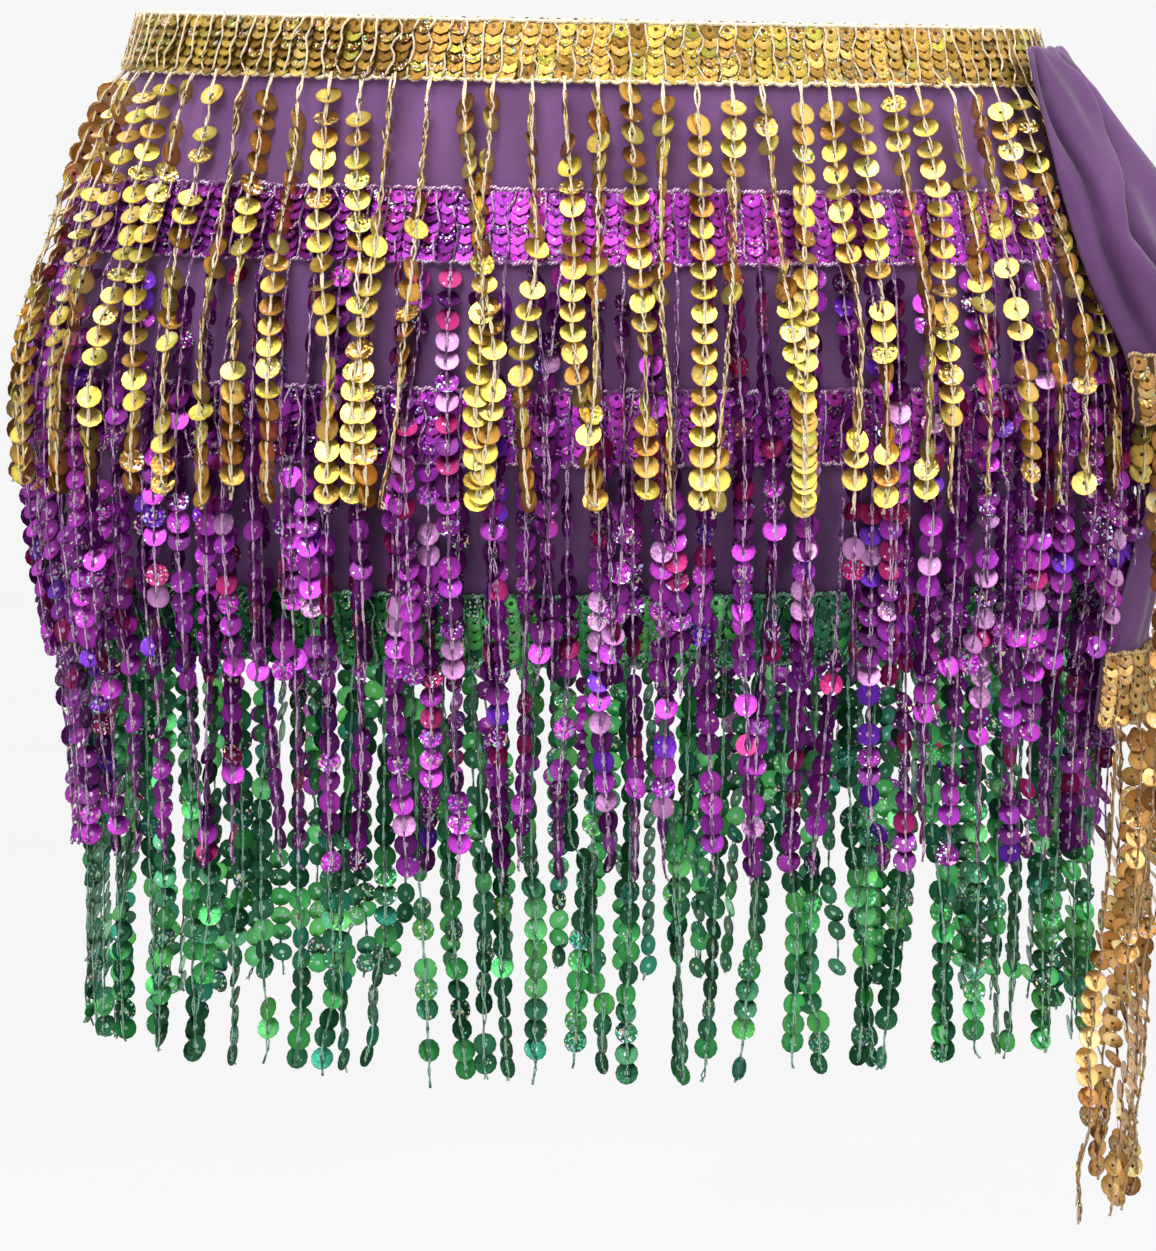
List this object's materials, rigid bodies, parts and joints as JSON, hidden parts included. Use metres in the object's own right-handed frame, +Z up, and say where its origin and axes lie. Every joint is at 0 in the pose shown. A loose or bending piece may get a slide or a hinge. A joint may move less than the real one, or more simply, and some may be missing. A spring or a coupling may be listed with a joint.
{
  "type": "belly dance hip scarf",
  "caption": "Sheer wrap worn round the hips, with tiered sequin fringe trims and two fringed tie ends knotted at one hip.",
  "frame": {"origin": "middle of the waist opening, level with the wrap's top edge, where the wearer's waist holds it", "axes": "+Z up along the wearer, -Y the way the wearer faces, +X their left, where the ends are tied"},
  "size_m": [0.419, 0.2655, 0.4191],
  "materials": {
    "purple_mesh": "fine sheer mesh",
    "purple_chiffon": "smooth chiffon",
    "gold_sequins": "metallised",
    "purple_sequins": "metallised",
    "green_sequins": "metallised"
  },
  "bodies": {
    "root": {"wrap_cloth": "purple_mesh", "gold_fringe_trim": "gold_sequins", "upper_purple_fringe_trim": "purple_sequins", "lower_purple_fringe_trim": "purple_sequins", "green_fringe_trim": "green_sequins", "tie_knot": "purple_chiffon", "front_tie_tail": "purple_chiffon", "front_tie_tail_fringe_trim": "gold_sequins", "back_tie_tail": "purple_chiffon", "back_tie_tail_fringe_trim": "gold_sequins"}
  },
  "joints": []
}
